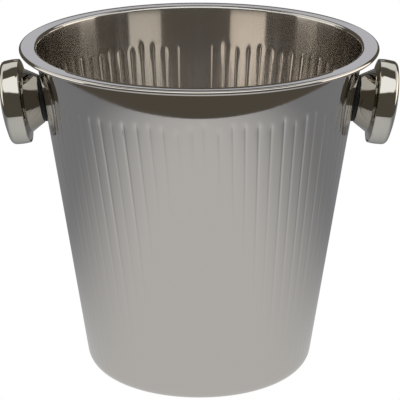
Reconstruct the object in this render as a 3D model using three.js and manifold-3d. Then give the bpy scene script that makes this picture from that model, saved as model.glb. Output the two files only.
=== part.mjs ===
// A polished stainless steel champagne bucket with a pair of round knob handles.
// Millimetres, +Z up. The origin is the centre of the base, on the surface that it stands on.
// The knobs are on the X axis, the left one at -X and the right one at +X, seen from the front (-Y).
import * as THREE from "three";
import { mergeVertices } from "three/addons/utils/BufferGeometryUtils.js";
import Module from "manifold-3d";

const wasm = await Module();
wasm.setup();

const { PI, tan, sin, cos, atan2, max, min } = Math;
const V = (r, z) => new THREE.Vector2(r, z);

// Driving dimensions
const SHEET = 0.8;                // thickness of the drawn steel sheet
const GAP = 0.3;                  // clearance left between faces that touch
const HEIGHT = 205;
const RIM_RADIUS = 108;           // outside of the rolled rim
const RIM_DEPTH = 2.6;            // the rim's edge, from the flat top to the hem's underside
const RIM_RETURN = 3.7;           // how far the hem comes back under the rim
const BASE_RADIUS = 68.4;         // where the wall's line would meet the standing plane
const TAPER = 8.34 * PI / 180;    // the wall's lean outwards
const SWELL = { foot: 150, widest: 185, upper: 195, out: 0.38 };   // the wall's slight swell, by height
const BASE_CORNER = 11.7;
const SHOULDER = 1.3;             // underside bend from the wall into the flat rim
const RAISED = { radius: 46, foot: 50, lift: 1.2, bend: 2 };   // the base's raised middle
const BUCKET_SIDES = 72;
const KNOB_SIDES = 36;
const HARDWARE_SIDES = 24;

const KNOB_HEIGHT = 171;          // where the knob's axis meets the wall's outer face
const FOOT_OFFSET = 1.5;          // from the wall to the neck's foot
const NECK = { foot: 14.4, footBend: 1.4, waist: 19.6, waistAt: 10.3, waistBend: 1.8, hole: 3.3 };
const FLANGE = { radius: 24.4, at: 11.8, bend: 1, collar: 3.2 };
const CAP = {
  back: 25.5, backAt: 12, belly: 25.85, bellyAt: 15.6, bellyBend: 24,
  front: 25.4, edge: 3.2, apex: 26.1, domeRadius: 95,
};

const SCREW = { radius: 2.7, length: 16, head: 6, headHeight: 4, slot: 1.3, slotLength: 5.6, slotDepth: 2.2 };
const BOSS = { bore: 3, barrel: 6.4, top: 12.2, depth: 8.6, flange: 9.5, flangeThickness: 1.6 };
const GASKET = { inner: 6, outer: 14.2, face: 1.2 };
const SEAL = { inner: 3.3, outer: 8.5, thickness: 1.5 };
const WASHER = { inner: 3.2, outer: 9, thickness: 1.6 };
const LOCK = { inner: 3.2, outer: 5.9, thickness: 1.5, split: 1, skew: 0.4 };
const WALL_HOLE = 3.3;

const UNDER = HEIGHT - SHEET;      // underside of the flat rim

// The wall's outer radius: a cone with a slight swell. Above the swell the wall is more upright.
function wallRadius(z) {
  const rising = max(0, z - SWELL.foot) / (SWELL.widest - SWELL.foot);
  const falling = 1 - (max(0, z - SWELL.widest) / (UNDER - SWELL.widest)) ** 2;
  return BASE_RADIUS + z * tan(TAPER) + SWELL.out * min(rising, falling);
}

// Outlines in the (radius, height) plane

// A line through corners [radius, height, bend, steps], each corner rounded by its bend. Where one
// bend runs straight into the next, they share a point.
function roundedPath(corners) {
  const points = [];
  corners.forEach(([r, z, bend = 0, steps = 2], i) => {
    const at = V(r, z);
    if (bend === 0) {
      points.push(at);
      return;
    }
    const back = V(corners[i - 1][0], corners[i - 1][1]).sub(at).normalize();
    const on = V(corners[i + 1][0], corners[i + 1][1]).sub(at).normalize();
    const half = back.angleTo(on) / 2;
    const centre = back.clone().add(on).normalize().multiplyScalar(bend / sin(half)).add(at);
    const first = back.clone().multiplyScalar(bend / tan(half)).add(at).sub(centre);
    const last = on.clone().multiplyScalar(bend / tan(half)).add(at).sub(centre);
    const turn = atan2(first.cross(last), first.dot(last));
    for (let step = 0; step <= steps; step++) {
      points.push(first.clone().rotateAround(V(0, 0), turn * step / steps).add(centre));
    }
  });
  return points.filter((point, i) => i === 0 || point.distanceTo(points[i - 1]) > 1e-6);
}

// The same line moved to its left by a distance, with mitred corners.
function offsetPath(points, distance) {
  const leftOf = (a, b) => V(a.y - b.y, b.x - a.x).normalize();
  return points.map((point, i) => {
    const before = leftOf(points[max(i - 1, 0)], points[max(i, 1)]);
    const after = i < points.length - 1 ? leftOf(point, points[i + 1]) : before;
    const mitre = before.clone().add(after).normalize();
    return mitre.multiplyScalar(distance / mitre.dot(after)).add(point);
  });
}

// The closed outline of a sheet whose one face follows the path.
function sheetOutline(points) {
  const outline = [...points, ...offsetPath(points, SHEET).reverse()];
  return points[0].x === 0 ? outline : [...outline, points[0]];
}

function ringOutline(inner, outer, low, high) {
  return [V(inner, low), V(outer, low), V(outer, high), V(inner, high), V(inner, low)];
}

// Geometry and solids

function turned(outline, sides) {
  return new THREE.LatheGeometry(outline, sides).rotateX(PI / 2);
}

function toSolid(geometry) {
  const bare = geometry.clone();
  bare.deleteAttribute("normal");
  bare.deleteAttribute("uv");
  const merged = mergeVertices(bare, 1e-4);
  const vertProperties = new Float32Array(merged.attributes.position.array);
  const triVerts = new Uint32Array(merged.index.array);
  return new wasm.Manifold(new wasm.Mesh({ numProp: 3, vertProperties, triVerts }));
}

function toGeometry(solid) {
  const mesh = solid.getMesh();
  const geometry = new THREE.BufferGeometry();
  geometry.setAttribute("position", new THREE.BufferAttribute(mesh.vertProperties, 3));
  geometry.setIndex(new THREE.BufferAttribute(mesh.triVerts, 1));
  geometry.computeVertexNormals();
  return geometry;
}

// The frame of one knob: +Z runs out of the wall, square to it. The left knob is the right one
// turned half round the bucket.
function knobPlace(side) {
  const place = new THREE.Group();
  const seat = new THREE.Group();
  place.rotation.z = side === "right" ? 0 : PI;
  seat.position.set(wallRadius(KNOB_HEIGHT), 0, KNOB_HEIGHT);
  seat.rotation.y = PI / 2 + TAPER;
  place.add(seat);
  place.updateMatrixWorld(true);
  return { place, seat };
}
const { matrixWorld: RIGHT_SEAT } = knobPlace("right").seat;

// A solid with the wall's shape at the knobs, whose surface lies outside the wall's outer face by
// the clearance. A negative clearance lies inside it.
function wallCore(clearance) {
  const heights = [KNOB_HEIGHT - 40, SWELL.foot, SWELL.widest, SWELL.upper, KNOB_HEIGHT + 30];
  const side = heights.map((z) => V(wallRadius(z) + clearance / cos(TAPER), z));
  return toSolid(turned([V(0, heights[0]), ...side, V(0, heights[4])], BUCKET_SIDES));
}

// A ring in the knob's frame, with one face shaped to the wall by a cut made in the bucket's frame.
function fittedRing(outline, cut) {
  const ring = toSolid(turned(outline, KNOB_SIDES).applyMatrix4(RIGHT_SEAT));
  return toGeometry(cut(ring)).applyMatrix4(RIGHT_SEAT.clone().invert());
}

// The pieces

// One drawn sheet: raised middle of the base, standing ring, tapered wall, flat rim and open hem.
function bucketShell() {
  const edge = RIM_RADIUS - SHEET;
  const hemBend = RIM_DEPTH / 2 - SHEET;
  const face = roundedPath([
    [0, RAISED.lift],
    [RAISED.radius, RAISED.lift, RAISED.bend, 1],
    [RAISED.foot, 0, RAISED.bend, 1],
    [BASE_RADIUS, 0, BASE_CORNER, 5],
    [wallRadius(SWELL.foot), SWELL.foot],
    [wallRadius(SWELL.widest), SWELL.widest],
    [wallRadius(SWELL.upper), SWELL.upper],
    [wallRadius(UNDER), UNDER, SHOULDER, 3],
    [edge, UNDER, hemBend],
    [edge, HEIGHT - RIM_DEPTH + SHEET, hemBend],
    [edge - hemBend - RIM_RETURN, HEIGHT - RIM_DEPTH + SHEET],
  ]);
  const shell = toSolid(turned(sheetOutline(face), BUCKET_SIDES));
  const drill = turned(ringOutline(0, WALL_HOLE, -6, 6).slice(0, 4), HARDWARE_SIDES);
  const holes = ["left", "right"].map((side) =>
    toSolid(drill.clone().applyMatrix4(knobPlace(side).seat.matrixWorld)));
  return toGeometry(shell.subtract(holes[0]).subtract(holes[1]));
}

// The flared hollow stem: a floor on the gasket, a cone, a dished flange and a collar for the cap.
function knobNeck() {
  return turned(sheetOutline(roundedPath([
    [NECK.hole, FOOT_OFFSET],
    [NECK.foot, FOOT_OFFSET, NECK.footBend],
    [NECK.waist, NECK.waistAt, NECK.waistBend],
    [FLANGE.radius, FLANGE.at, FLANGE.bend],
    [FLANGE.radius, FLANGE.at + FLANGE.collar],
  ])), KNOB_SIDES);
}

// The drawn cap that slides over the collar: a short bellied side and a slightly domed front.
function knobCap() {
  const dome = (r) => CAP.apex - r * r / (2 * CAP.domeRadius);
  return turned(sheetOutline(roundedPath([
    [CAP.back, CAP.backAt],
    [CAP.belly, CAP.bellyAt, CAP.bellyBend],
    [CAP.front, dome(CAP.front), CAP.edge, 4],
    [CAP.front * 0.6, dome(CAP.front * 0.6)],
    [CAP.front * 0.3, dome(CAP.front * 0.3)],
    [0, CAP.apex],
  ])), KNOB_SIDES);
}

// The flanged nut that is welded to the neck's floor, with a blind threaded hole.
function knobBoss() {
  const low = FOOT_OFFSET + SHEET + GAP;
  const shelf = low + BOSS.flangeThickness;
  return turned([
    V(0, low + BOSS.depth), V(BOSS.bore, low + BOSS.depth), V(BOSS.bore, low), V(BOSS.flange, low),
    V(BOSS.flange, shelf), V(BOSS.barrel, shelf), V(BOSS.barrel, BOSS.top), V(0, BOSS.top),
  ], HARDWARE_SIDES);
}

// The rubber ring under the neck's foot, flat to the foot and curved to the wall.
function knobGasket() {
  const outline = ringOutline(GASKET.inner, GASKET.outer, -3, GASKET.face);
  return fittedRing(outline, (ring) => ring.subtract(wallCore(GAP)));
}

// The soft washer inside the bucket, curved to the wall and flat to the steel washer.
const SEAL_BACK = -(SHEET + GAP + SEAL.thickness);
function sealWasher() {
  const outline = ringOutline(SEAL.inner, SEAL.outer, SEAL_BACK, 0);
  return fittedRing(outline, (ring) => ring.intersect(wallCore(-SHEET - GAP)));
}

const WASHER_BACK = SEAL_BACK - GAP - WASHER.thickness;
function flatWasher() {
  return turned(ringOutline(WASHER.inner, WASHER.outer, WASHER_BACK, WASHER_BACK + WASHER.thickness), KNOB_SIDES);
}

// A spring washer, split by a slanted slot.
const LOCK_BACK = WASHER_BACK - GAP - LOCK.thickness;
function lockWasher() {
  const outline = ringOutline(LOCK.inner, LOCK.outer, LOCK_BACK, LOCK_BACK + LOCK.thickness);
  const slot = new THREE.BoxGeometry(LOCK.outer, LOCK.split, 4 * LOCK.thickness).rotateX(LOCK.skew);
  slot.translate(LOCK.outer / 2 + LOCK.inner / 2, 0, LOCK_BACK + LOCK.thickness / 2);
  return toGeometry(toSolid(turned(outline, HARDWARE_SIDES)).subtract(toSolid(slot)));
}

// A pan head screw with a cross recess. It enters from inside the bucket.
const HEAD_SEAT = LOCK_BACK - GAP;
function knobScrew() {
  const top = HEAD_SEAT - SCREW.headHeight;
  const tip = HEAD_SEAT + SCREW.length;
  const chamfer = 0.6;
  const body = toSolid(turned([
    V(0, top), V(SCREW.head * 0.55, top + 0.5), V(SCREW.head * 0.85, top + 1.3), V(SCREW.head, top + 2.6),
    V(SCREW.head, HEAD_SEAT), V(SCREW.radius, HEAD_SEAT), V(SCREW.radius, tip - chamfer),
    V(SCREW.radius - chamfer, tip), V(0, tip),
  ], HARDWARE_SIDES));
  const arm = new THREE.BoxGeometry(SCREW.slotLength, SCREW.slot, 2 * SCREW.slotDepth).translate(0, 0, top);
  const cross = toSolid(arm).add(toSolid(arm.clone().rotateZ(PI / 2)));
  return toGeometry(body.subtract(cross));
}

// Materials and assembly

const polishedSteel = { color: 0xc9c8cb, roughness: 0.08, metalness: 1 };
const plainSteel = { color: 0xb9babd, roughness: 0.3, metalness: 1 };
const blackRubber = { color: 0x0d0d0e, roughness: 0.75, metalness: 0 };

function piece(name, geometry, look) {
  const mesh = new THREE.Mesh(geometry, new THREE.MeshStandardMaterial(look));
  mesh.name = name;
  return mesh;
}

const KNOB_PIECES = [
  ["knob_cap", knobCap(), polishedSteel],
  ["knob_neck", knobNeck(), polishedSteel],
  ["knob_boss", knobBoss(), plainSteel],
  ["knob_gasket", knobGasket(), blackRubber],
  ["seal_washer", sealWasher(), blackRubber],
  ["flat_washer", flatWasher(), plainSteel],
  ["lock_washer", lockWasher(), plainSteel],
  ["screw", knobScrew(), plainSteel],
];

const bucket = new THREE.Group();
bucket.add(piece("bucket_shell", bucketShell(), polishedSteel));
for (const side of ["left", "right"]) {
  const { place, seat } = knobPlace(side);
  for (const [name, geometry, look] of KNOB_PIECES) {
    seat.add(piece(`${side}_${name}`, geometry, look));
  }
  bucket.add(place);
}

export default bucket;
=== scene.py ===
"""A polished stainless steel champagne bucket with two round knob handles.

Sizes are in millimetres in the functions below, and MM turns them into metres on the way into a mesh.
An outline is a list of (radius, height) points that goes round with the material on its left.
"""
import math

import bpy
import numpy as np
from mathutils import Matrix, Vector


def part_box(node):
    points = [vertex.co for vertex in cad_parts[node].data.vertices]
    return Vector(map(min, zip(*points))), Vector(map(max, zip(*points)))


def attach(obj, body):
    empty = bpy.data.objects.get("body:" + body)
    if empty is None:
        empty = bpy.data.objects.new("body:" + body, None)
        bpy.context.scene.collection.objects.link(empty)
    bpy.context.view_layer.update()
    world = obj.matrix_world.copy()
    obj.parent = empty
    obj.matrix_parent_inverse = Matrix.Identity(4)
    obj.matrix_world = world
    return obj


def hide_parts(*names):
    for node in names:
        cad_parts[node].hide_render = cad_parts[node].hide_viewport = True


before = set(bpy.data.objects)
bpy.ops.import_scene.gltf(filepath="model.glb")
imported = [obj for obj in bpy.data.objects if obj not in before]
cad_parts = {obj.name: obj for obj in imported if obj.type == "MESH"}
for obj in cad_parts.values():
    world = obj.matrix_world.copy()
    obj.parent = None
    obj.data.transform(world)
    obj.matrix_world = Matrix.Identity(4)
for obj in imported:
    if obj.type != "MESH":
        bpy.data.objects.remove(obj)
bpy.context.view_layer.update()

MM = 0.001
SHARP = math.radians(50)      # an edge that turns by more than this looks sharp
SHELL_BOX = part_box("bucket_shell")
HEIGHT = (SHELL_BOX[1][2] - SHELL_BOX[0][2]) / MM

# The bucket
SHEET = 0.8
RIM_RADIUS = 108.0
RIM_DEPTH = 2.6
RIM_RETURN = 3.7
BASE_RADIUS = 68.4
TAPER = math.radians(8.34)
BASE_CORNER = 11.7
SHOULDER = 1.3
UNDER = HEIGHT - SHEET        # underside of the flat rim
SWELL_FOOT = 150.0            # the wall swells out a little from this height
SWELL_WIDEST = 185.0          # up to this one, and comes back to its cone at the rim
SWELL_OUT = 0.38
SWELL_SOFTNESS = 4.0
BAND = 199.0                  # above this height the wall is straight up to the shoulder
RAISED_RADIUS = 46.0
RAISED_FOOT = 50.0
RAISED_LIFT = 1.2
RAISED_BEND = 2.0

# The pressed grooves: each is a narrow crease in a broad shallow dent, with a rounded upper end
GROOVES = 75
PITCH = 2 * math.pi / GROOVES
FIRST_GROOVE = math.radians(-88.4)
CREASE = (1.15, 0.21)         # half width and depth
CREASE_FADE = 130.0           # the crease gets half as deep over this length
DENT = (3.4, 0.075)
DENT_SHARE = 0.42             # the dent's half width is at most this share of the pitch
DENT_WAVE = 31.0              # the dent's depth wavers along its length, one radian in this many mm
HEAD_DEPTH = 0.16             # how much deeper the dent is at its upper end
HEAD_FADE = (2.0, 22.0)       # how far down that extra depth starts and stops fading
GROOVE_TOP = 182.5
GROOVE_FOOT = (7.0, 20.0)     # the grooves fade out between these heights
GROOVE_LEAN = math.radians(4.2) / 135     # how far a groove at the front leans, for each millimetre down
COLUMNS = (0, 0.035, 0.07, 0.105, 0.145, 0.2, 0.28, 0.38)   # the mesh's columns, in shares of the pitch

# How the grooves differ
SEED = 11
PLACE_SPREAD = 0.0035         # in radians
TIP_SPREAD = 1.3
STRENGTHS = (0.55, 1.25)
SKEW_SPREAD = 0.25            # how far the dents' middles stray from the creases'
PLAIN_HALF = 0.14             # the grooves are faint within about this angle of the middle of the back
PLAIN_SHARE = 0.95

# The knobs, in a frame whose +Z runs out of the wall, square to it. Pairs are (radius, height).
KNOB_HEIGHT = 171.0
KNOB_SIDES = 160
FOOT_OFFSET = 1.5
FOOT_RADIUS = 14.4
FLARE_END = (19.6, 10.3)      # where the neck's cone meets its dished flange
FLANGE_RADIUS = 24.4
FLANGE_LOW = 11.8
FLANGE_HIGH = 15.0
CAP_BACK = (25.5, 12.0)
CAP_WIDEST = (25.85, 15.6)
CAP_FRONT_RADIUS = 25.4       # where the cap's side would meet its domed front
CAP_APEX = 26.1
CAP_DOME = 95.0               # the dome's radius of curvature
GASKET = (6.0, 14.2)          # inner and outer radius
SEAL = (3.3, 8.5)
WASHER = (3.2, 9.0)
LOCK = (3.2, 5.9)
SEAL_BACK = -2.7              # the backs of the washers inside the bucket
WASHER_BACK = -4.6
LOCK_BACK = -6.4
LOCK_RISE = 0.35              # how far one end of the spring washer stands up
GAP = 0.05                    # between pieces that are pressed together
SCREW_HOLE = 3.3
DRILL_REACH = 6.0
HEAD_RADIUS = 6.0
HEAD_HEIGHT = 4.0
SHANK_RADIUS = 2.7
SHANK_END = 9.4
RECESS_REACH = 2.9            # half the length and half the width of the head's cross recess
RECESS_HALF = 0.62
RECESS_SINK = 2.3


def swell(z):
    """How far the wall's outer face stands outside a plain cone, as a smooth function of height."""
    z = np.asarray(z, dtype=float)[..., None] + np.linspace(-SWELL_SOFTNESS, SWELL_SOFTNESS, 11)
    rising = np.clip((z - SWELL_FOOT) / (SWELL_WIDEST - SWELL_FOOT), 0, 1)
    falling = 1 - (np.clip(z - SWELL_WIDEST, 0, None) / (UNDER - SWELL_WIDEST)) ** 2
    return SWELL_OUT * np.minimum(rising, falling).mean(axis=-1)


def wall_radius(z):
    """The radius of the wall's outer face at a height."""
    return BASE_RADIUS + z * math.tan(TAPER) + float(swell(z))


# ---------------------------------------------------------------- outlines

def rounded_path(corners, steps=10):
    """A line through corners (r, z) or (r, z, bend), each corner rounded by its bend radius."""
    points = []
    for i, corner in enumerate(corners):
        at = Vector(corner[:2])
        bend = corner[2] if len(corner) > 2 else 0
        if bend == 0:
            points.append(at)
            continue
        back = (Vector(corners[i - 1][:2]) - at).normalized()
        on = (Vector(corners[i + 1][:2]) - at).normalized()
        half = back.angle(on) / 2
        centre = at + (back + on).normalized() * bend / math.sin(half)
        first = at + back * bend / math.tan(half) - centre
        last = at + on * bend / math.tan(half) - centre
        turn = math.atan2(first.x * last.y - first.y * last.x, first.dot(last))
        for step in range(steps + 1):
            swing = Matrix.Rotation(turn * step / steps, 2)
            points.append(centre + swing @ first)
    kept = [points[0]]
    for point in points[1:]:
        if (point - kept[-1]).length > 1e-5:
            kept.append(point)
    return kept


def left_normals(points):
    """A line's points, the unit normal on the left of each, and how far an offset of 1 reaches there."""
    p = np.array([tuple(q) for q in points])
    along = np.diff(p, axis=0)
    along /= np.linalg.norm(along, axis=1)[:, None]
    sides = np.stack([-along[:, 1], along[:, 0]], axis=1)
    before = np.vstack([sides[:1], sides])
    after = np.vstack([sides, sides[-1:]])
    mean = before + after
    mean /= np.linalg.norm(mean, axis=1)[:, None]
    reach = 1 / np.sum(mean * after, axis=1)
    return p, mean, reach[:, None]


def half_round(start, end, steps=5):
    """Points of a half circle that bulges to the right of the way from start to end."""
    middle = (start + end) / 2
    arm = start - middle
    return [middle + Matrix.Rotation(math.pi * k / steps, 2) @ arm for k in range(1, steps)]


def sheet_outline(path):
    """The outline of a sheet with one face on the path, and with rounded edges."""
    p, normals, reach = left_normals(path)
    face = [Vector(q) for q in p]
    other = [Vector(q) for q in p + normals * reach * SHEET][::-1]
    outline = face + half_round(face[-1], other[0]) + other
    if face[0].x > 1e-6:
        outline += half_round(other[-1], face[0])
        outline.append(face[0])
    return outline


def bevelled_ring(inner, outer, low, high, bevel, steps=3):
    """The closed outline of a flat ring with rounded edges."""
    corners = [
        (inner, (low + high) / 2), (inner, low, bevel), (outer, low, bevel), (outer, high, bevel),
        (inner, high, bevel), (inner, (low + high) / 2),
    ]
    return rounded_path(corners, steps)


# ---------------------------------------------------------------- meshes

def grid_mesh(name, rows, place=Matrix.Identity(4)):
    """A closed mesh from rows of points round the axis, one row for each point of an outline.

    rows has the shape (rows, columns, 3), in millimetres. A row on the axis becomes one point, and an
    outline that ends where it starts is joined to its start.
    """
    count, columns = rows.shape[:2]
    radius = np.hypot(rows[:, :, 0], rows[:, :, 1]).max(axis=1)
    closed = radius[0] > 1e-6
    if closed:
        count -= 1
    points, index = [], []
    for row in range(count):
        if radius[row] > 1e-6:
            index.append(len(points) + np.arange(columns))
            points.extend(rows[row])
        else:
            index.append(np.full(columns, len(points)))
            points.append(rows[row, 0])
    faces = []
    for row in range(count if closed else count - 1):
        low, high = index[row], index[(row + 1) % count]
        for a, b, c, d in zip(low, np.roll(low, -1), np.roll(high, -1), high):
            corners = [int(v) for v in (a, b, c, d)]
            faces.append([v for k, v in enumerate(corners) if v != corners[k - 1]])
    mesh = bpy.data.meshes.new(name)
    mesh.from_pydata([place @ Vector(p) for p in points], [], faces)
    return finished(mesh)


def finished(mesh):
    """An object for a mesh in millimetres, smooth but for its sharp edges."""
    mesh.transform(Matrix.Scale(MM, 4))
    mesh.shade_smooth()
    mesh.set_sharp_from_angle(angle=SHARP)
    mesh.validate()
    piece = bpy.data.objects.new(mesh.name, mesh)
    bpy.context.scene.collection.objects.link(piece)
    return piece


def turned(name, outline, sides, place=Matrix.Identity(4)):
    """A plain lathe form of an outline."""
    angle = np.arange(sides) * 2 * np.pi / sides
    p = np.array([tuple(q) for q in outline])
    rows = np.stack([
        p[:, :1] * np.cos(angle), p[:, :1] * np.sin(angle), np.repeat(p[:, 1:], sides, axis=1),
    ], axis=2)
    return grid_mesh(name, rows, place)


# ---------------------------------------------------------------- the bucket

def smoothstep(low, high, x):
    t = np.clip((x - low) / (high - low), 0, 1)
    return t * t * (3 - 2 * t)


def groove_press(z, s, tip, half, run, depth):
    """A press of a half width, s to the side of its middle line, whose upper end is an arc a run high."""
    above = np.clip(z - (tip - run), 0, None) / run
    distance = np.clip(np.hypot(s / half, above), 0, 1)
    return depth * (0.5 + 0.5 * np.cos(np.pi * distance))


def groove_grid(heights, radii):
    """The mesh's angles, which lean with the grooves, and how far the sheet is pressed in, row by row."""
    rng = np.random.default_rng(SEED)
    half = [share * PITCH for share in COLUMNS]
    offsets = np.array([-a for a in half[:0:-1]] + half)
    middle = FIRST_GROOVE + PITCH * np.arange(GROOVES) + rng.normal(0, PLACE_SPREAD, GROOVES)
    tip = GROOVE_TOP + rng.normal(0, TIP_SPREAD, GROOVES)
    at_back = np.exp(-((middle - np.pi / 2) / PLAIN_HALF) ** 2)
    strength = rng.uniform(*STRENGTHS, GROOVES) * (1 - PLAIN_SHARE * at_back)
    skew = rng.normal(0, SKEW_SPREAD, GROOVES)
    wander = rng.uniform(0, 2 * np.pi, GROOVES)

    def columns(values):
        """One value for each groove, repeated for each of its columns."""
        return np.repeat(values, len(offsets))[None, :]

    z = heights[:, None]
    r = radii[:, None]
    below = GROOVE_TOP - z
    lean = GROOVE_LEAN * np.clip(below, 0, GROOVE_TOP) * (0.5 - 0.5 * np.sin(columns(middle)))
    off = np.tile(offsets, GROOVES)[None, :]
    angle = columns(middle) + off + lean
    side = off * r
    strong = columns(strength)
    crease = CREASE[1] * (1 - 0.5 * smoothstep(0, CREASE_FADE, below)) * strong
    waver = 0.65 + 0.35 * np.cos(z / DENT_WAVE + columns(wander))
    dent = DENT[1] * waver * (0.6 + 0.4 * strong)
    dent = dent + HEAD_DEPTH * strong * (1 - smoothstep(*HEAD_FADE, below))
    width = np.clip(DENT_SHARE * PITCH * r, 0.1, DENT[0])
    press = groove_press(z, side, columns(tip) - 1, CREASE[0], 3 * CREASE[0], crease)
    press += groove_press(z, side - columns(skew), columns(tip) + 1, width, 2 * DENT[0], dent)
    return angle, press * smoothstep(*GROOVE_FOOT, z)


def wall_heights(start, end):
    """Heights up the wall, close together near the foot and from the grooves' upper ends to the rim."""
    stretches = (
        (start + 1.5, start + 12, 1.5),
        (start + 16, GROOVE_TOP - 12, 8.0),
        (GROOVE_TOP - 10, GROOVE_TOP - 4, 1.5),
        (GROOVE_TOP - 4, end - 0.3, 0.45),
    )
    return sorted(z for stretch in stretches for z in np.arange(*stretch))


def bucket_shell():
    """One drawn sheet: base, standing ring, grooved wall, flat rim and open hem."""
    edge = RIM_RADIUS - SHEET
    hem = RIM_DEPTH / 2 - SHEET
    path = rounded_path([
        (0, RAISED_LIFT),
        (RAISED_RADIUS, RAISED_LIFT, RAISED_BEND),
        (RAISED_FOOT, 0, RAISED_BEND),
        (BASE_RADIUS, 0, BASE_CORNER),
        (wall_radius(BAND), BAND),
        (wall_radius(UNDER), UNDER, SHOULDER),
        (edge, UNDER, hem),
        (edge, HEIGHT - RIM_DEPTH + SHEET, hem),
        (edge - hem - RIM_RETURN, HEIGHT - RIM_DEPTH + SHEET),
    ], steps=12)
    rises = [b.y - a.y for a, b in zip(path, path[1:])]
    wall = int(np.argmax(rises))
    low, high = path[wall], path[wall + 1]
    between = [Vector((wall_radius(z), z)) for z in wall_heights(low.y, high.y)]
    path = path[:wall + 1] + between + path[wall + 1:]

    p, normals, reach = left_normals(path)
    angle, press = groove_grid(p[:, 1], p[:, 0])
    press[(p[:, 1] > high.y) | (p[:, 0] < BASE_RADIUS - BASE_CORNER)] = 0

    def face(offset):
        at = p[:, None, :] + normals[:, None, :] * (reach[:, None, :] * offset + press[:, :, None])
        return np.stack([at[:, :, 0] * np.cos(angle), at[:, :, 0] * np.sin(angle), at[:, :, 1]], axis=2)

    outside, inside = face(0.0), face(SHEET)[::-1]
    hem_end = half_round(Vector(p[-1]), Vector(p[-1] + normals[-1] * SHEET))
    last = angle[-1]
    end_rows = []
    for q in hem_end:
        level = np.full(last.shape, q.y)
        end_rows.append(np.stack([q.x * np.cos(last), q.x * np.sin(last), level], axis=1))
    shell = grid_mesh("grooved_bucket", np.concatenate([outside, np.array(end_rows), inside]))
    rod = [(0, -DRILL_REACH), (SCREW_HOLE, -DRILL_REACH), (SCREW_HOLE, DRILL_REACH), (0, DRILL_REACH)]
    for side in ("left", "right"):
        cut(shell, turned("drill", [Vector(q) for q in rod], 48, knob_place(side)))
    return shell


def cut(piece, tool):
    """Cuts a tool's shape out of a piece, and takes the tool away."""
    modifier = piece.modifiers.new("cut", "BOOLEAN")
    modifier.object = tool
    modifier.operation = "DIFFERENCE"
    modifier.solver = "MANIFOLD"
    graph = bpy.context.evaluated_depsgraph_get()
    graph.update()
    mesh = bpy.data.meshes.new_from_object(piece.evaluated_get(graph))
    mesh.set_sharp_from_angle(angle=SHARP)
    piece.modifiers.clear()
    old = piece.data
    piece.data = mesh
    bpy.data.meshes.remove(old)
    bpy.data.meshes.remove(tool.data)


# ---------------------------------------------------------------- the knobs

def knob_place(side):
    """From the knob's own frame to the bucket's, in millimetres."""
    seat = Matrix.Translation((wall_radius(KNOB_HEIGHT), 0, KNOB_HEIGHT))
    seat = seat @ Matrix.Rotation(math.pi / 2 + TAPER, 4, "Y")
    return seat if side == "right" else Matrix.Rotation(math.pi, 4, "Z") @ seat


def knob_neck(side):
    """A flared hollow stem with a dished flange."""
    path = rounded_path([
        (SCREW_HOLE, FOOT_OFFSET),
        (FOOT_RADIUS, FOOT_OFFSET, 1.4),
        (*FLARE_END, 1.8),
        (FLANGE_RADIUS, FLANGE_LOW, 1.0),
        (FLANGE_RADIUS, FLANGE_HIGH),
    ])
    return turned(f"{side}_neck", sheet_outline(path), KNOB_SIDES, knob_place(side))


def knob_cap(side):
    """A drawn cap with a slightly domed front, which closes the neck's flange."""
    def dome(r):
        return CAP_APEX - r * r / (2 * CAP_DOME)

    front = [(r, dome(r)) for r in np.linspace(CAP_FRONT_RADIUS * 0.8, 0, 12)]
    corner = (CAP_FRONT_RADIUS, dome(CAP_FRONT_RADIUS), 3.2)
    path = rounded_path([CAP_BACK, (*CAP_WIDEST, 24), corner, *front])
    return turned(f"{side}_cap", sheet_outline(path), KNOB_SIDES, knob_place(side))


def fitted_ring(name, side, radii, flat, wall_offset, sides=120):
    """A rubber ring whose one face is flat and whose other face follows the curved wall."""
    inner, outer = radii
    wall_at = wall_radius(KNOB_HEIGHT)
    bulge = 0.35
    angle = np.arange(sides) * 2 * np.pi / sides
    sign = 1 if flat > 0 else -1

    def wall_face(r):
        sideways = r * np.sin(angle)
        height = KNOB_HEIGHT - r * np.cos(angle) * math.cos(TAPER)
        swollen = swell(height) - swell(KNOB_HEIGHT)
        return wall_offset + swollen - (wall_at - np.sqrt(wall_at ** 2 - sideways ** 2)) + sign * GAP

    def row(r, share):
        """One ring of points, a share of the way from the wall's face to the flat one."""
        height = wall_face(r) * (1 - share) + flat * share
        return np.stack([r * np.cos(angle), r * np.sin(angle), height], axis=1)

    stops = [
        (outer - bulge, 0.0), (outer, 0.25), (outer, 0.75), (outer - bulge, 1.0),
        (inner + bulge, 1.0), (inner, 0.75), (inner, 0.25), (inner + bulge, 0.0),
    ]
    rows = np.array([row(*stop) for stop in stops + stops[:1]])
    return grid_mesh(name, rows[::sign], knob_place(side))


def flat_washer(side):
    outline = bevelled_ring(*WASHER, WASHER_BACK, SEAL_BACK - GAP, bevel=0.25)
    return turned(f"{side}_washer", outline, 96, knob_place(side))


def lock_washer(side):
    """A spring washer: a bevelled bar bent round into one slightly rising turn with a gap."""
    section = bevelled_ring(*LOCK, LOCK_BACK, WASHER_BACK - LOCK_RISE - GAP, bevel=0.15)[:-1]
    turn = np.radians(np.linspace(5, 355, 71))
    points = []
    for a in turn:
        lift = LOCK_RISE * a / (2 * np.pi)
        points += [(q.x * np.cos(a), q.x * np.sin(a), q.y + lift) for q in section]
    count = len(section)
    last = len(points) - count
    faces = []
    for start in range(0, last, count):
        for j in range(count):
            a, b = start + j, start + (j + 1) % count
            faces.append((a, a + count, b + count, b))
    faces += [tuple(range(count)), tuple(range(last, last + count))[::-1]]
    place = knob_place(side)
    mesh = bpy.data.meshes.new(f"{side}_spring_washer")
    mesh.from_pydata([place @ Vector(q) for q in points], [], faces)
    return finished(mesh)


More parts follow.
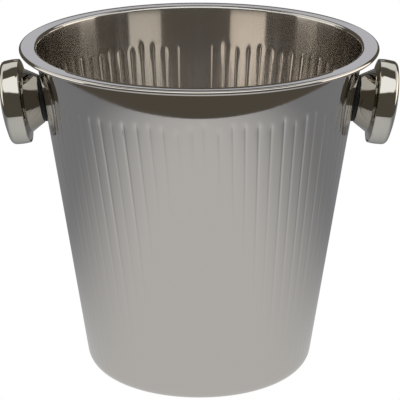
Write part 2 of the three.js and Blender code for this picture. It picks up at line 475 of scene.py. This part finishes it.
def screw(side):
    """A pan head screw with a cross recess, which enters from inside the bucket."""
    seat = LOCK_BACK - GAP
    top = seat - HEAD_HEIGHT
    outline = rounded_path([
        (0, top),
        (4.6, top + 0.35),
        (HEAD_RADIUS, top + 1.8, 1.2),
        (HEAD_RADIUS, seat, 0.3),
        (SHANK_RADIUS, seat, 0.1),
        (SHANK_RADIUS, SHANK_END - 0.6),
        (SHANK_RADIUS - 0.6, SHANK_END),
        (0, SHANK_END),
    ], 6)
    piece = turned(f"{side}_machine_screw", outline, 96, knob_place(side))
    for spin in (0, math.pi / 2):
        place = knob_place(side) @ Matrix.Translation((0, 0, top)) @ Matrix.Rotation(spin + 0.5, 4, "Z")
        cut(piece, punch(place))
    return piece


def punch(place):
    """One arm of the tool that sinks a cross recess: a wedge that narrows as it goes in."""
    corners = []
    for z, share in ((-1.0, 1.0), (0.0, 1.0), (RECESS_SINK, 0.35)):
        x = RECESS_REACH * share
        y = RECESS_HALF * (0.55 + 0.45 * share)
        corners += [(-x, -y, z), (x, -y, z), (x, y, z), (-x, y, z)]
    faces = [(3, 2, 1, 0), (8, 9, 10, 11)]
    for level in (0, 4):
        for k in range(4):
            a, b = level + k, level + (k + 1) % 4
            faces.append((a, b, b + 4, a + 4))
    mesh = bpy.data.meshes.new("punch")
    mesh.from_pydata([place @ Vector(q) for q in corners], [], faces)
    return finished(mesh)


# ---------------------------------------------------------------- materials

STEEL = (0.64, 0.615, 0.585)
KNOB_STEEL = (0.6, 0.585, 0.535)


def new_material(name):
    material = bpy.data.materials.new(name)
    material.use_nodes = True
    shader = material.node_tree.nodes["Principled BSDF"]
    return material, material.node_tree, shader


def noise(tree, scale, detail):
    """A noise texture in the object's own space, scale in cycles per metre."""
    place = tree.nodes.new("ShaderNodeTexCoord")
    texture = tree.nodes.new("ShaderNodeTexNoise")
    texture.inputs["Scale"].default_value = scale
    texture.inputs["Detail"].default_value = detail
    tree.links.new(place.outputs["Object"], texture.inputs["Vector"])
    return texture.outputs["Fac"]


def map_range(tree, value, low, high, to_low, to_high):
    """A value that runs from low to high, turned into one that runs from to_low to to_high."""
    node = tree.nodes.new("ShaderNodeMapRange")
    node.inputs["From Min"].default_value = low
    node.inputs["From Max"].default_value = high
    node.inputs["To Min"].default_value = to_low
    node.inputs["To Max"].default_value = to_high
    tree.links.new(value, node.inputs["Value"])
    return node.outputs["Result"]


def polished_steel(name, colour):
    """Polished steel that faint smudges make a little less glossy here and there."""
    material, tree, shader = new_material(name)
    shader.inputs["Base Color"].default_value = (*colour, 1)
    shader.inputs["Metallic"].default_value = 1
    smudges = noise(tree, 28, detail=4)
    tree.links.new(map_range(tree, smudges, 0.35, 0.7, 0.03, 0.07), shader.inputs["Roughness"])
    return material


def brushed_steel(colour):
    """The bucket's inside, brushed round and round, which blurs reflections up and down."""
    material, tree, shader = new_material("brushed_steel")
    shader.inputs["Base Color"].default_value = (*colour, 1)
    shader.inputs["Metallic"].default_value = 1
    shader.inputs["Roughness"].default_value = 0.12
    shader.inputs["Anisotropic"].default_value = 1
    shader.inputs["Anisotropic Rotation"].default_value = 0.25
    tangent = tree.nodes.new("ShaderNodeTangent")
    tangent.direction_type = "RADIAL"
    tangent.axis = "Z"
    tree.links.new(tangent.outputs[0], shader.inputs["Tangent"])
    return material


def plain_steel():
    """The satin steel of the screws, washers and bosses."""
    material, tree, shader = new_material("plain_steel")
    shader.inputs["Base Color"].default_value = (0.6, 0.59, 0.57, 1)
    shader.inputs["Metallic"].default_value = 1
    grain = noise(tree, 900, detail=3)
    tree.links.new(map_range(tree, grain, 0.3, 0.7, 0.22, 0.36), shader.inputs["Roughness"])
    return material


def black_rubber():
    material, tree, shader = new_material("black_rubber")
    shader.inputs["Base Color"].default_value = (0.012, 0.012, 0.013, 1)
    grain = noise(tree, 1500, detail=3)
    tree.links.new(map_range(tree, grain, 0.3, 0.7, 0.5, 0.7), shader.inputs["Roughness"])
    bump = tree.nodes.new("ShaderNodeBump")
    bump.inputs["Strength"].default_value = 0.2
    bump.inputs["Distance"].default_value = 0.0001
    tree.links.new(grain, bump.inputs["Height"])
    tree.links.new(bump.outputs["Normal"], shader.inputs["Normal"])
    return material


# ---------------------------------------------------------------- studio

# The studio's soft lights, seen from the bucket: the azimuth and elevation of the middle, the half
# width, the half height and the softness of the edge, in degrees, and the colour. Azimuth 0 is behind
# the bucket and 90 is to its right.
LIGHTS = {
    "overhead, behind": (0, 42, 125, 14, 6, (0.9, 0.89, 0.87)),
    "overhead, in front": (180, 62, 80, 23, 5, (1.3, 1.3, 1.3)),
    "right": (72, 8, 26, 17, 3, (1.75, 1.6, 1.42)),
    "left": (-80, 8, 24, 17, 3, (1.3, 1.26, 1.15)),
    "low strip behind": (0, 14.6, 8, 2.6, 1, (0.58, 0.59, 0.64)),
}
ROOM = (0.1, 0.088, 0.07)     # the dark room round the lights
# Painted light: the table glows dim outside a painted pool of light and brighter in it
TABLE_DIM = (0.24, 0.245, 0.26)           # the table's light outside the pool
TABLE_BRIGHT = (0.64, 0.64, 0.635)        # and in it
TABLE_RADIUS = 520.0
TABLE_MIDDLE = 140.0          # how far the table's middle is behind the bucket
POOL = (0.0, -190.0, 0.0)     # the middle of the soft pool of light on the table
POOL_RADIUS = 280.0
POOL_SOFTNESS = 320.0
FLAG_BEHIND = 130.0
FLAG_WIDTH = 176.0
FLAG_FOOT = 229.0
FLAG_LINE = (101.0, 15.3)     # a radius on the rim, and the slope in degrees from it up to the flag's top

# The camera, in metres and degrees
CAMERA_PLACE = (0, -1.150, 0.4986)
CAMERA_DOWN = 18.87
CAMERA_LENS = 177.3           # millimetres, on a sensor 36 wide
CAMERA_SHIFT = 0.0021


def maths(tree, operation, *inputs):
    """A Math node's output. An input is a number or another node's output."""
    node = tree.nodes.new("ShaderNodeMath")
    node.operation = operation
    for socket, value in zip(node.inputs, inputs):
        if isinstance(value, (int, float)):
            socket.default_value = value
        else:
            tree.links.new(value, socket)
    return node.outputs[0]


def soft_window(tree, distance, half, softness):
    """1 where the distance is less than half and 0 where it is more, with an edge as wide as the softness."""
    node = tree.nodes.new("ShaderNodeMapRange")
    node.interpolation_type = "SMOOTHSTEP"
    node.inputs["From Min"].default_value = half - softness / 2
    node.inputs["From Max"].default_value = half + softness / 2
    node.inputs["To Min"].default_value = 1
    node.inputs["To Max"].default_value = 0
    tree.links.new(distance, node.inputs["Value"])
    return node.outputs["Result"]


def mixed(tree, factor, first, second):
    """The first colour where the factor is 0, turning into the second where it is 1."""
    node = tree.nodes.new("ShaderNodeMix")
    node.data_type = "RGBA"
    tree.links.new(factor, node.inputs["Factor"])
    colour_sockets = [socket for socket in node.inputs if socket.type == "RGBA"]
    for socket, colour in zip(colour_sockets, (first, second)):
        if isinstance(colour, tuple):
            socket.default_value = (*colour, 1)
        else:
            tree.links.new(colour, socket)
    return next(socket for socket in node.outputs if socket.type == "RGBA")


def soft_lights(tree, across, ahead, elevation):
    """The room's colour with the soft lights in it."""
    colour = ROOM
    for azimuth, middle, half_width, half_height, softness, light in LIGHTS.values():
        cosine = math.cos(math.radians(azimuth))
        sine = math.sin(math.radians(azimuth))
        x_cosine = maths(tree, "MULTIPLY", across, cosine)
        y_cosine = maths(tree, "MULTIPLY", ahead, cosine)
        x_sine = maths(tree, "MULTIPLY", across, sine)
        y_sine = maths(tree, "MULTIPLY", ahead, sine)
        beside = maths(tree, "SUBTRACT", x_cosine, y_sine)
        towards = maths(tree, "ADD", x_sine, y_cosine)
        aside = maths(tree, "ABSOLUTE", maths(tree, "DEGREES", maths(tree, "ARCTAN2", beside, towards)))
        above = maths(tree, "ABSOLUTE", maths(tree, "SUBTRACT", elevation, middle))
        within_width = soft_window(tree, aside, half_width, softness)
        within_height = soft_window(tree, above, half_height, softness)
        colour = mixed(tree, maths(tree, "MULTIPLY", within_width, within_height), colour, light)
    return colour


def white_to_camera(tree, colour, shader_type):
    """The colour as light, and plain white where the camera looks straight at it."""
    light = tree.nodes.new(shader_type)
    tree.links.new(colour, light.inputs["Color"])
    white = tree.nodes.new(shader_type)
    white.inputs["Color"].default_value = (1, 1, 1, 1)
    path = tree.nodes.new("ShaderNodeLightPath")
    seen = tree.nodes.new("ShaderNodeMixShader")
    tree.links.new(path.outputs["Is Camera Ray"], seen.inputs[0])
    tree.links.new(light.outputs[0], seen.inputs[1])
    tree.links.new(white.outputs[0], seen.inputs[2])
    return seen.outputs[0]


def studio_world():
    """The room and its lights, as the world round the bucket."""
    world = bpy.data.worlds.new("studio")
    bpy.context.scene.world = world
    world.use_nodes = True
    tree = world.node_tree
    tree.nodes.clear()
    place = tree.nodes.new("ShaderNodeTexCoord")
    split = tree.nodes.new("ShaderNodeSeparateXYZ")
    tree.links.new(place.outputs["Generated"], split.inputs[0])
    x, y, z = split.outputs
    elevation = maths(tree, "DEGREES", maths(tree, "ARCSINE", z))
    colour = soft_lights(tree, x, y, elevation)
    out = tree.nodes.new("ShaderNodeOutputWorld")
    tree.links.new(white_to_camera(tree, colour, "ShaderNodeBackground"), out.inputs["Surface"])


def stage_sheet(name, corners, material):
    """A flat sheet that belongs to the studio."""
    mesh = bpy.data.meshes.new(name)
    mesh.from_pydata([Vector(q) * MM for q in corners], [], [tuple(range(len(corners)))])
    mesh.materials.append(material)
    sheet = bpy.data.objects.new(name, mesh)
    bpy.context.scene.collection.objects.link(sheet)
    return sheet


def glowing(name):
    """A material without its usual shader, and the socket for the light that it gives instead."""
    material, tree, shader = new_material(name)
    tree.nodes.remove(shader)
    return material, tree, tree.nodes["Material Output"].inputs["Surface"]


def painted_pool_table():
    """A round table top that glows instead of being lit: plain white to the camera, and to reflections a dim
    grey with one soft painted pool of light on it.
    """
    material, tree, surface = glowing("painted_pool_table")
    place = tree.nodes.new("ShaderNodeNewGeometry")
    away = tree.nodes.new("ShaderNodeVectorMath")
    away.operation = "DISTANCE"
    away.inputs[1].default_value = Vector(POOL) * MM
    tree.links.new(place.outputs["Position"], away.inputs[0])
    # painted pool of light: the table's glow brightens near POOL
    pool = soft_window(tree, away.outputs["Value"], POOL_RADIUS * MM, POOL_SOFTNESS * MM)
    colour = mixed(tree, pool, TABLE_DIM, TABLE_BRIGHT)
    tree.links.new(white_to_camera(tree, colour, "ShaderNodeEmission"), surface)
    turn = np.radians(np.arange(0, 360, 5))
    edge = [(TABLE_RADIUS * math.cos(a), TABLE_MIDDLE + TABLE_RADIUS * math.sin(a), 0) for a in turn]
    stage_sheet("floor", edge, material)


def flag():
    """Painted shade: a card behind the rim that glows as dark as the room and is hidden from the camera,
    which keeps the low strip's light out of the bucket.
    """
    material, tree, surface = glowing("painted_shade_flag")
    glow = tree.nodes.new("ShaderNodeEmission")
    glow.inputs["Color"].default_value = (*ROOM, 1)
    tree.links.new(glow.outputs[0], surface)
    radius, slope = FLAG_LINE
    rise = math.tan(math.radians(slope))
    top = []
    for x in np.linspace(-FLAG_WIDTH / 2, FLAG_WIDTH / 2, 21):
        reach = FLAG_BEHIND + math.sqrt(radius ** 2 - x * x)
        top.append((x, FLAG_BEHIND, HEIGHT + reach * rise))
    foot = [(x, FLAG_BEHIND, FLAG_FOOT) for x in (FLAG_WIDTH / 2, -FLAG_WIDTH / 2)]
    sheet = stage_sheet("flag", top + foot, material)
    sheet.visible_camera = False


def camera():
    data = bpy.data.cameras.new("camera")
    data.sensor_width = 36.0
    data.lens = CAMERA_LENS
    data.shift_x = CAMERA_SHIFT
    data.clip_start = 0.05
    data.clip_end = 20.0
    view = bpy.data.objects.new("camera", data)
    view.location = CAMERA_PLACE
    view.rotation_euler = (math.radians(90 - CAMERA_DOWN), 0, 0)
    bpy.context.scene.collection.objects.link(view)
    bpy.context.scene.camera = view


# ---------------------------------------------------------------- assembly

def settle(piece, slot, material, *nodes):
    """Gives a piece its material, its body and the CAD nodes that it stands for. The slot is not used."""
    piece.data.materials.clear()
    piece.data.materials.append(material)
    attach(piece, "root")
    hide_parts(*nodes)


def line_inside(shell, material):
    """Gives the faces inside the bucket, up to the rim, a material of their own."""
    mesh = shell.data
    mesh.materials.append(material)
    middle = np.empty(len(mesh.polygons) * 3)
    normal = np.empty(len(mesh.polygons) * 3)
    mesh.polygons.foreach_get("center", middle)
    mesh.polygons.foreach_get("normal", normal)
    x, y, z = middle.reshape(-1, 3).T / MM
    nx, ny, nz = normal.reshape(-1, 3).T
    radius = np.hypot(x, y)
    outward = (nx * x + ny * y) / np.maximum(radius, 1e-3)
    within = radius < BASE_RADIUS + z * math.tan(TAPER)
    inside = within & ((outward < -0.5) | (nz > 0.5))
    mesh.polygons.foreach_set("material_index", inside.astype(np.int32))


def dress(node, material):
    """Gives a CAD node that stays a better material."""
    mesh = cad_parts[node].data
    mesh.materials.clear()
    mesh.materials.append(material)


bpy.context.scene.view_settings.view_transform = "Standard"
bpy.context.scene.cycles.max_bounces = 24
bpy.context.scene.cycles.glossy_bounces = 24
camera()
painted_pool_table()
flag()
studio_world()

steel = polished_steel("polished_steel", STEEL)
knob_steel = polished_steel("knob_steel", KNOB_STEEL)
hardware = plain_steel()
rubber = black_rubber()

shell = bucket_shell()
settle(shell, "polished_steel", steel, "bucket_shell")
line_inside(shell, brushed_steel(STEEL))
for side in ("left", "right"):
    settle(knob_neck(side), "polished_steel", knob_steel, f"{side}_knob_neck")
    settle(knob_cap(side), "polished_steel", knob_steel, f"{side}_knob_cap")
    gasket = fitted_ring(f"{side}_gasket", side, GASKET, FOOT_OFFSET - GAP, 0)
    settle(gasket, "black_rubber", rubber, f"{side}_knob_gasket")
    seal = fitted_ring(f"{side}_seal", side, SEAL, SEAL_BACK, -SHEET)
    settle(seal, "black_rubber", rubber, f"{side}_seal_washer")
    settle(flat_washer(side), "hardware_steel", hardware, f"{side}_flat_washer")
    settle(lock_washer(side), "hardware_steel", hardware, f"{side}_lock_washer")
    settle(screw(side), "hardware_steel", hardware, f"{side}_screw")
    dress(f"{side}_knob_boss", hardware)
